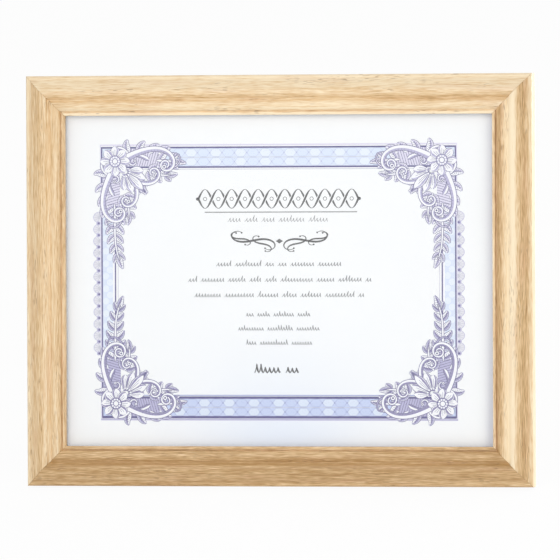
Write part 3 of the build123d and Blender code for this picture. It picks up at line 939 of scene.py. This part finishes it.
def scrollwork():
    """One corner at the top left, from the border's outer corner: an arm to the right, a
    longer one downwards, a palmette on the diagonal between them, and a rosette."""
    corner = Drawing()
    corner.bands = scrollwork_arm(14).bands + scrollwork_arm(36).flipped().bands
    for angle, reach in ((-2, 12.5), (-88, 12.5), (-22, 15), (-68, 15), (-45, 17)):
        petal(corner, (14, -14), angle, reach, 2.5, 22 if angle == -45 else 20, 3)
    rosette = (8.5, -8.5)
    for step in range(8):
        petal(corner, rosette, 45 * step, 9.4, 2.7, 25 + step % 2, 1.5)
    corner.outlined_disc(rosette, 3.4, "shade", 30, 21)
    for step in range(10):
        turn = math.radians(36 * step)
        pearl = (rosette[0] + 2.5 * math.cos(turn), rosette[1] + 2.5 * math.sin(turn))
        corner.disc(pearl, 0.62, "light", 32, 7)
    corner.outlined_disc(rosette, 1.5, "light", 32, 15)
    return corner


def printing_ink(settings):
    """Ink in the colour of its band, a little uneven where the paper's fibres show."""
    ink = Finish("printing_ink")
    place = ink.point()
    band = ink.attribute("ink", "Color")
    speckle = ink.noise(place, 2600.0, 2.0)
    clouds = ink.noise(place, 240.0, 2.0)
    cover = (0.05 + speckle * 0.16 + clouds * 0.10).held()
    return ink.surface(
        {"Base Color": ink.mix(cover, band, settings.paper), "Roughness": 0.55 + speckle * 0.1}
    )


def printed(name, drawing, material, settings):
    """Makes a drawing into one mesh of thin closed prisms, one for each band. A prism's
    section is the band's two edges at the foot of the ink and at the height of its layer."""
    foot = PAPER_TOP - 2 * PAPER_SWELL
    points, faces, colours = [], [], []
    start = 0
    for left, right, ink, layer in drawing.bands:
        count = len(left)
        top = PAPER_TOP + (layer + 1) * settings.layer
        flat = np.stack((right, right, left, left), 1) * MM + (-settings.shift, MIDDLE)
        rise = np.broadcast_to((foot, top, top, foot), (count, 4))
        points.append(np.dstack((flat, rise)).reshape(-1, 3))
        quads, first, last = tube_faces(count, 4)
        faces.append(np.vstack((quads, first, last)) + start)
        colours.append(np.tile((*getattr(settings, ink), 1.0), (count * 4, 1)))
        start += count * 4
    piece = new_piece(
        name, np.vstack(points), np.vstack(faces).tolist(), (material,)
    )
    ink = piece.data.color_attributes.new("ink", "FLOAT_COLOR", "POINT")
    ink.data.foreach_set("color", np.vstack(colours).ravel())


def border_lines(settings):
    """The border's half width and the heights of its outer line, in millimetres."""
    half_width, half_height, drop = (
        value / MM for value in (settings.half_width, settings.half_height, settings.drop)
    )
    return half_width, half_height - drop, -half_height - drop


def lattice(drawing, low, high, half_width, period, outline, cells):
    """Two rows of hexagons that touch at their tips, with a small knot at each tip and
    a thin line between the rows. The cells take their two inks in turn."""
    middle = (low + high) / 2
    tall = (high - low) / 4
    reach = period / 2
    drawing.bar(-half_width, half_width, middle - 0.12, middle + 0.12, "rule", 3)
    count = int(half_width / period) * 2 + 1
    for column in range(-(count // 2), count // 2 + 1):
        x = column * period
        for y in (middle - tall, middle + tall):
            for shrink, ink, layer in ((0.0, outline, 1), (0.26, cells[column % 2], 2)):
                tip = np.array((-reach, -reach * 0.50, reach * 0.50, reach))
                tip[(0, 3),] *= 1 - shrink / reach
                rise = np.array((0.04, tall - 0.25 - shrink, tall - 0.25 - shrink, 0.04))
                drawing.band(
                    np.column_stack((x + tip, y + rise)), np.column_stack((x + tip, y - rise)),
                    ink, layer,
                )
            drawing.disc((x + reach, y), 0.5, outline, 3, 7)


def lace(drawing, x, low, high, period, side):
    """A strip of shells: each is a half disc on the line with a smaller one inside it and
    five ribs that spread from its middle. A dot with a dark eye sits at each joint."""
    count = int((high - low) / period)
    start = (high + low) / 2 - count * period / 2
    for number in range(count):
        y = start + (number + 0.5) * period
        for reach, tall, ink, layer in (
            (4.5, 3.6, "shade", 1), (4.15, 3.3, "shell", 2), (1.5, 1.2, "rule", 4),
        ):
            turn = np.linspace(-math.pi / 2, math.pi / 2, 11)
            rise = y + tall * np.sin(turn)
            out = x + side * (reach * np.cos(turn) + 0.03)
            base = np.full_like(out, x)
            edges = [np.column_stack((out, rise)), np.column_stack((base, rise))]
            drawing.band(*(edges[::-1] if side > 0 else edges), ink, layer)
        for lean in (-1.05, -0.53, 0.0, 0.53, 1.05):
            rib = np.outer((1.0, 4.1), (side * math.cos(lean), 0.85 * math.sin(lean)))
            drawing.stroke(rib + (x, y), 0.34, "rule", 3)
        drawing.disc((x + side * 1.2, y - period / 2), 1.25, "shade", 5, 9)
        drawing.disc((x + side * 0.9, y - period / 2), 0.6, "violet", 6, 7)


# How far the lattice runs from the middle, the spacing of its cells, of the side bands' discs
# and of the lace's shells, and how far the lace stays from the border's ends, in millimetres
LATTICE_REACH, LATTICE_PERIOD = 68, 7.85
DISC_PERIOD = 3.9
LACE_PERIOD, LACE_MARGIN = 7.4, 37


class FRAME_OT_printed_border(Operator):
    """The border's lines, pale bands with their lattice and discs, and scalloped lace"""

    bl_idname = "certificate_frame.printed_border"
    bl_label = "Printed border"

    def execute(self, context):
        settings = context.scene.frame_print
        half_width, top, bottom = border_lines(settings)
        tall, wide, line = (
            value / MM
            for value in (settings.band_height, settings.band_width, settings.line_width)
        )
        border = Drawing()
        for low, fill, outline, cells in (
            (top - tall, "sky", "frost", ("mist", "haze")),
            # The bottom band takes darker inks than the top one: painted shade
            (bottom, "dusk", "slate", ("sky", "dusk")),
        ):
            high = low + tall
            border.bar(-half_width, half_width, low, high, fill, 0)
            lattice(
                border, low + line / 2, high - line / 2, LATTICE_REACH, LATTICE_PERIOD,
                outline, cells,
            )
        inner, foot, head = half_width - wide, bottom + tall, top - tall
        for side in (-1, 1):
            border.bar(*sorted((side * inner, side * half_width)), foot, head, "sky", 0)
            strip = sorted((side * (inner + 0.3), side * (inner + 1.6)))
            border.bar(*strip, foot, head, "light", 2)
            for step in range(-11, 12):
                middle = side * (half_width - wide / 2 + 0.5) + 1.3 * (-1) ** step
                place = (middle, (top + bottom) / 2 + DISC_PERIOD * step)
                border.disc(place, 2.1, "haze", 1)
            lace(
                border, side * (half_width + 1.1), bottom + LACE_MARGIN, top - LACE_MARGIN,
                LACE_PERIOD, side,
            )
        # A rule outside and one inside the border, then its own outer and inner lines
        border.ring(half_width + 0.75, top + 1.6, bottom - 1.6, 1.0, "lilac", 1, 0.7)
        border.ring(inner - 1.7, head - 1.4, foot + 1.4, 0.4, "rule", 1)
        border.ring(half_width, top, bottom, line, "violet", 6, line * 0.85)
        border.ring(inner, head, foot, line, "violet", 6, line * 0.8)
        # The bottom band's lines and the rules beside them are printed more strongly: painted
        #         # shade for the weaker light at the bottom
        reach = inner - 1.7
        border.bar(-reach, reach, foot + 1.1, foot + 1.7, "slate", 2)
        for y in (bottom, foot):
            border.bar(-half_width, half_width, y - 0.72, y + 0.72, "violet", 7)
        reach = half_width + 1.1
        border.bar(-reach, reach, bottom - 2.0, bottom - 0.9, "shade", 2)
        printed("print_border", border, printing_ink(settings), settings)
        return {"FINISHED"}


class FRAME_OT_corner_scrollwork(Operator):
    """The scrollwork in the border's four corners"""

    bl_idname = "certificate_frame.corner_scrollwork"
    bl_label = "Corner scrollwork"

    def execute(self, context):
        settings = context.scene.frame_print
        half_width, top, bottom = border_lines(settings)
        corner = scrollwork()
        # The lower corners take darker inks: painted shade for the weaker light at the bottom
        painted_shade_corner = corner.reinked({"lilac": "shade", "shade": "plum"})
        material = printing_ink(settings)
        for name, right, up in (
            ("top_left", 1, 1), ("top_right", -1, 1), ("bottom_left", 1, -1),
            ("bottom_right", -1, -1),
        ):
            drawing, edge = (corner, top) if up > 0 else (painted_shade_corner, bottom)
            drawing = drawing.mirrored(right, up, (-right * half_width, edge), 7)
            printed(f"print_corner_{name}", drawing, material, settings)
        return {"FINISHED"}


def braid(drawing, centre, half_length, height, turns, ink):
    """Two strands that cross in turn. Each is a sine of the distance along the line, and its
    width swells with the slope, and a pearl fills each opening."""
    wave = 2 * half_length / turns
    rise = height / 2 - 1.0
    x = np.linspace(-half_length, half_length, turns * 24 + 1)
    phase = 2 * np.pi * x / wave
    width = 0.34 + 0.95 * np.abs(np.cos(phase)) ** 1.8
    strands = [
        np.column_stack((x + centre[0], centre[1] + sign * rise * np.sin(phase)))
        for sign in (1, -1)
    ]
    for strand in strands:
        drawing.stroke(strand, width, ink, 1)
    for crossing in range(1, 2 * turns):
        over = strands[crossing % 2]
        station = crossing * 12
        near = slice(station - 3, station + 4)
        drawing.stroke(over[near], width[near] + 0.9, "paper", 2)
        near = slice(station - 4, station + 5)
        drawing.stroke(over[near], width[near], ink, 3)
    for opening in range(2 * turns):
        pearl = (centre[0] - half_length + (opening + 0.5) * wave / 2, centre[1])
        drawing.disc(pearl, 1.25, ink, 1)
        drawing.disc(pearl, 0.90, "paper", 2)
    for side in (-1, 1):
        drawing.disc((centre[0] + side * (half_length + 0.6), centre[1]), 1.0, ink, 1)


def scribble(drawing, centre, half_length, height, lean, pen, ink, draws):
    """A line of wordless loops: words of uneven length, each a row of arches whose heights
    vary, sheared by the lean, thicker where the pen goes down."""
    pitch = height * 0.56
    x = centre[0] - half_length
    while x < centre[0] + half_length - 2 * pitch:
        arches = int(draws.integers(3, 13))
        arches = min(arches, int((centre[0] + half_length - x) / pitch))
        if arches < 2:
            break
        t = np.linspace(0, arches, arches * 8 + 1)
        tops = draws.choice((0.62, 0.68, 0.74, 1.15), arches + 1, p=(0.36, 0.3, 0.2, 0.14))
        tall = np.interp(t, np.arange(arches + 1) + 0.5, tops)
        rise = height * tall * (0.5 - 0.5 * np.cos(2 * np.pi * t)) ** 0.8
        along = x + t * pitch + 0.16 * pitch * np.sin(2 * np.pi * t) + lean * rise
        path = np.column_stack((along, centre[1] - height / 2 + rise))
        down = np.sin(2 * np.pi * t) < 0
        weight = pen * np.where(down, 1.0, 0.5)
        weight = np.convolve(np.pad(weight, 1, mode="edge"), (0.25, 0.5, 0.25), "valid")
        drawing.stroke(path, weight, ink, 1)
        x += arches * pitch + height * 0.75


def flourish(drawing, centre, ink):
    """Open coiled scrolls on each side of a small lozenge, a little flattened, the right side
    drawn and mirrored. A stroke is widest at its middle, as a pen makes it."""
    right = Drawing()
    for middle, heading, length, coil, width in (
        ((16.5, 0.6), -16, 52, 4.4, 0.95),
        ((11.0, -2.4), 14, 27, 3.7, 0.65),
        ((24.5, 2.2), 2, 25, 3.9, 0.60),
    ):
        path = double_coil(middle, heading, length, coil) * (1.0, 0.68)
        share = np.linspace(-1, 1, len(path))
        right.stroke(path, 0.34 + width * (1 - share**2) ** 1.5, ink, 1)
        for end in (0, -1):
            right.disc(path[end], 0.55, ink, 1, 9)
    for sign in (1, -1):
        drawing.bands += right.mirrored(sign, 1, centre).bands
    size = np.array((0.05, 1.5, 0.05))
    along = centre[0] + np.array((-2.2, 0.0, 2.2))
    drawing.band(
        np.column_stack((along, centre[1] + size)), np.column_stack((along, centre[1] - size)),
        ink, 2,
    )


class FRAME_OT_printed_wording(Operator):
    """The braid, rule, flourish and wordless lines in the middle of the sheet"""

    bl_idname = "certificate_frame.printed_wording"
    bl_label = "Printed wording lines"

    def execute(self, context):
        settings = context.scene.frame_print
        draws = np.random.default_rng(11)
        sheet = Drawing()
        braid(sheet, (0.2, 51.0), 50.6, 13.8, 6, "dark")
        sheet.bar(-46.5, 50.0, 42.4, 43.0, "grey", 1)
        scribble(sheet, (0.0, 38.5), 32.0, 3.6, 0.3, 0.42, "grey", draws)
        flourish(sheet, (0.8, 24.6), "dark")
        for y, reach in ((10.7, 40.0), (1.0, 58.0), (-8.6, 54.0)):
            scribble(sheet, (0.7, y), reach, 3.3, 0.3, 0.54, "grey", draws)
        for y, reach in ((-20.8, 21.0), (-29.6, 26.0), (-38.5, 21.0)):
            scribble(sheet, (0.4, y), reach, 2.9, 0.0, 0.54, "grey", draws)
        scribble(sheet, (-0.9, -55.0), 14.3, 4.8, 0.0, 1.1, "dark", draws)
        printed("print_wording", sheet, printing_ink(settings), settings)
        return {"FINISHED"}


class FRAME_OT_pane(Operator):
    """The clear pane over the sheet"""

    bl_idname = "certificate_frame.pane"
    bl_label = "Clear pane"

    def execute(self, context):
        settings = context.scene.frame_fittings
        pane = Finish("clear_pane")
        smears = pane.noise(pane.point(), 30.0, 3.0)
        shine = pane.add("ShaderNodeFresnel", {"IOR": settings.pane_index})
        leaving = pane.add("ShaderNodeNewGeometry", output="Backfacing")
        clear = pane.add("ShaderNodeBsdfTransparent", {"Color": (0.995, 0.998, 1.0)})
        gloss = pane.add("ShaderNodeBsdfGlossy", {"Color": (1, 1, 1), "Roughness": 0.04})
        share = ((shine + smears * 0.006) * (1.0 - leaving)).held()
        give(
            "glazing_sheet",
            pane.end(pane.add("ShaderNodeMixShader", {0: share, 1: clear, 2: gloss})),
        )
        return {"FINISHED"}


def pressed_board(name, colour, fleck, fibre_scale, fleck_share):
    """Pressed fibres: clouds of tone, fine fibres in two sizes and darker flecks."""
    board = Finish(name)
    place = board.point()
    clouds = board.noise(place, 34.0, 3.0)
    fibres = board.noise(place, fibre_scale, 4.0, 0.7)
    specks = board.noise(place, fibre_scale * 0.62, 1.0)
    dim = tuple(value * 0.62 for value in colour)
    tone = board.mix((0.35 + clouds * 0.9 + fibres * 1.3).held(), colour, dim)
    tone = board.mix(specks.rise(0.17, 0.26) * fleck_share, tone, fleck)
    return board.surface(
        {
            "Base Color": tone,
            "Roughness": 0.62 + fibres * 0.3,
            "Normal": board.bump(fibres, 0.08 * MM, 0.5),
        }
    )


class FRAME_OT_boards(Operator):
    """Finishes of the backing board, the leg and the grey filler board"""

    bl_idname = "certificate_frame.boards"
    bl_label = "Boards"

    def execute(self, context):
        settings = context.scene.frame_fittings
        brown = pressed_board(
            "hardboard", settings.hardboard, written(84, 56, 36), 620.0, 0.5
        )
        for node in ("backing_board", "easel_leg"):
            give(node, brown)
        grey = pressed_board(
            "grey_board", settings.grey_board, written(108, 104, 98), 900.0, 0.7
        )
        give("filler_board", grey)
        return {"FINISHED"}


def plated_steel(name, colour, rough, spangle):
    """Plated steel: a metal whose tone and gloss vary in soft spots and fine rolling marks."""
    steel = Finish(name)
    place = steel.point()
    spots = steel.noise(place, spangle, 3.0)
    marks = steel.noise(place, 1500.0, 2.0)
    dull = tuple(value * 0.74 for value in colour)
    return steel.surface(
        {
            "Base Color": steel.mix((0.4 + spots * 1.4 + marks * 0.5).held(), colour, dull),
            "Metallic": 1.0,
            "Roughness": rough + spots * 0.22 + marks * 0.10,
            "Normal": steel.bump(marks, 0.02 * MM, 0.4),
        }
    )


class FRAME_OT_steel_fittings(Operator):
    """Finishes of the turn buttons, hangers, hinge, screws, nails, rivets and V-nails"""

    bl_idname = "certificate_frame.steel_fittings"
    bl_label = "Steel fittings"

    def execute(self, context):
        settings = context.scene.frame_fittings
        finishes = {
            "zinc_steel": plated_steel("bright_zinc", settings.zinc, 0.34, 260.0),
            "brass_plated_steel": plated_steel("yellow_plate", settings.brass, 0.30, 260.0),
            "blue_steel": plated_steel("blue_steel", settings.blue_steel, 0.42, 500.0),
        }
        for row in frame["record"]["subparts"]:
            if row["material_slot"] in finishes:
                give(row["node"], finishes[row["material_slot"]])
        return {"FINISHED"}


class FRAME_OT_stage(Operator):
    """White floor, soft lamps, white surroundings and the camera"""

    bl_idname = "certificate_frame.stage"
    bl_label = "Stage"

    def execute(self, context):
        settings = context.scene.frame_stage
        white_floor(settings)
        surroundings(settings)
        centre = np.array((0.0, MIDDLE, RAIL_DEPTH / 2))
        soft_lamp(
            "top_lamp", centre, direction=(0.0, 0.20, 0.98), distance=0.60, size=0.6,
            power=settings.key_power,
        )
        soft_lamp(
            "side_lamp", centre, direction=(1.0, 0.05, -0.60), distance=1.1, size=0.9,
            power=settings.side_power,
        )
        camera(settings)
        return {"FINISHED"}


def white_floor(settings):
    """A wide floor that shows as plain white where no shadow lies."""
    finish = Finish("white_floor")
    share = finish.seen() * settings.floor_glow
    matt = finish.add("ShaderNodeBsdfDiffuse", {"Color": written(238, 238, 238)})
    glow = finish.add("ShaderNodeEmission", {"Color": (1, 1, 1), "Strength": 1.0})
    mixed = finish.add("ShaderNodeMixShader", {0: share, 1: matt, 2: glow})
    mesh = bpy.data.meshes.new("floor")
    reach = 30.0
    corners = [(-reach, -reach, 0), (reach, -reach, 0), (reach, reach, 0), (-reach, reach, 0)]
    mesh.from_pydata(corners, [], [(0, 1, 2, 3)])
    mesh.materials.append(finish.end(mixed))
    floor = linked("floor", mesh)


def surroundings(settings):
    """White all round for the camera and for reflections, and a plain light elsewhere."""
    world = Surroundings("white_surroundings")
    strength = world.add(
        "ShaderNodeMapRange",
        {0: world.seen(), "To Min": settings.sky_strength, "To Max": 1.0},
    )
    back = world.add("ShaderNodeBackground", {"Color": (1, 1, 1), "Strength": strength})
    bpy.context.scene.world = world.end(back)


def placed(piece, place, towards, up=UP):
    """Puts a lamp or camera at a place, looking along a direction."""
    back = -np.array(towards) / np.linalg.norm(towards)
    side = np.cross(up, back)
    side /= np.linalg.norm(side)
    over = np.cross(back, side)
    matrix = np.eye(4)
    matrix[:3, 0], matrix[:3, 1], matrix[:3, 2], matrix[:3, 3] = side, over, back, place
    piece.matrix_world = Matrix(matrix.tolist())


def soft_lamp(name, centre, direction, distance, size, power):
    """A square lamp at a distance from the face, in a direction along the frame's axes."""
    lamp = bpy.data.lights.new(name, "AREA")
    lamp.shape = "SQUARE"
    lamp.size = size
    lamp.energy = power
    piece = linked(name, lamp)
    towards = np.array(direction) / np.linalg.norm(direction) @ AXES
    placed(piece, centre @ AXES + towards * distance, -towards)
    piece.visible_camera = False


def camera(settings):
    """Camera square to the leaning face, apart from a small yaw, pitch and roll."""
    aim = np.array((settings.aim_right, MIDDLE + settings.aim_up, RAIL_DEPTH)) @ AXES
    yaw, pitch, roll = settings.yaw, settings.pitch, settings.roll
    level = math.cos(pitch)
    back = np.array((math.sin(yaw) * level, math.sin(pitch), math.cos(yaw) * level)) @ AXES
    up = np.array((math.sin(roll), math.cos(roll), 0.0)) @ AXES
    data = bpy.data.cameras.new("camera")
    data.lens = settings.lens
    data.clip_end = 100
    piece = linked("camera", data)
    placed(piece, aim + back * settings.distance, -back, up)
    bpy.context.scene.camera = piece
    bpy.context.scene.view_settings.view_transform = "Standard"


class FRAME_PT_panel(Panel):
    """Settings and steps of the certificate frame"""

    bl_idname = "FRAME_PT_panel"
    bl_label = "Certificate Frame"
    bl_space_type = "VIEW_3D"
    bl_region_type = "UI"
    bl_category = "Certificate Frame"

    def draw(self, context):
        for step in STEPS:
            self.layout.operator(step.bl_idname)
        for group in SETTINGS:
            box = self.layout.box()
            for name in SETTINGS[group].__annotations__:
                box.prop(getattr(context.scene, group), name)


SETTINGS = {
    "frame_moulding": MouldingSettings,
    "frame_print": PrintSettings,
    "frame_fittings": FittingSettings,
    "frame_stage": StageSettings,
}
STEPS = (
    FRAME_OT_oak_mouldings,
    FRAME_OT_printed_sheet,
    FRAME_OT_printed_border,
    FRAME_OT_corner_scrollwork,
    FRAME_OT_printed_wording,
    FRAME_OT_pane,
    FRAME_OT_boards,
    FRAME_OT_steel_fittings,
    FRAME_OT_stage,
)


def register():
    for kind in (*SETTINGS.values(), *STEPS, FRAME_PT_panel):
        bpy.utils.register_class(kind)
    for name, kind in SETTINGS.items():
        setattr(bpy.types.Scene, name, PointerProperty(type=kind))


def unregister():
    for name in SETTINGS:
        delattr(bpy.types.Scene, name)
    for kind in (FRAME_PT_panel, *reversed(STEPS), *SETTINGS.values()):
        bpy.utils.unregister_class(kind)


def main():
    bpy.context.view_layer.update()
    register()
    for step in STEPS:
        group, name = step.bl_idname.split(".")
        getattr(getattr(bpy.ops, group), name)()


if __name__ == "__main__":
    main()
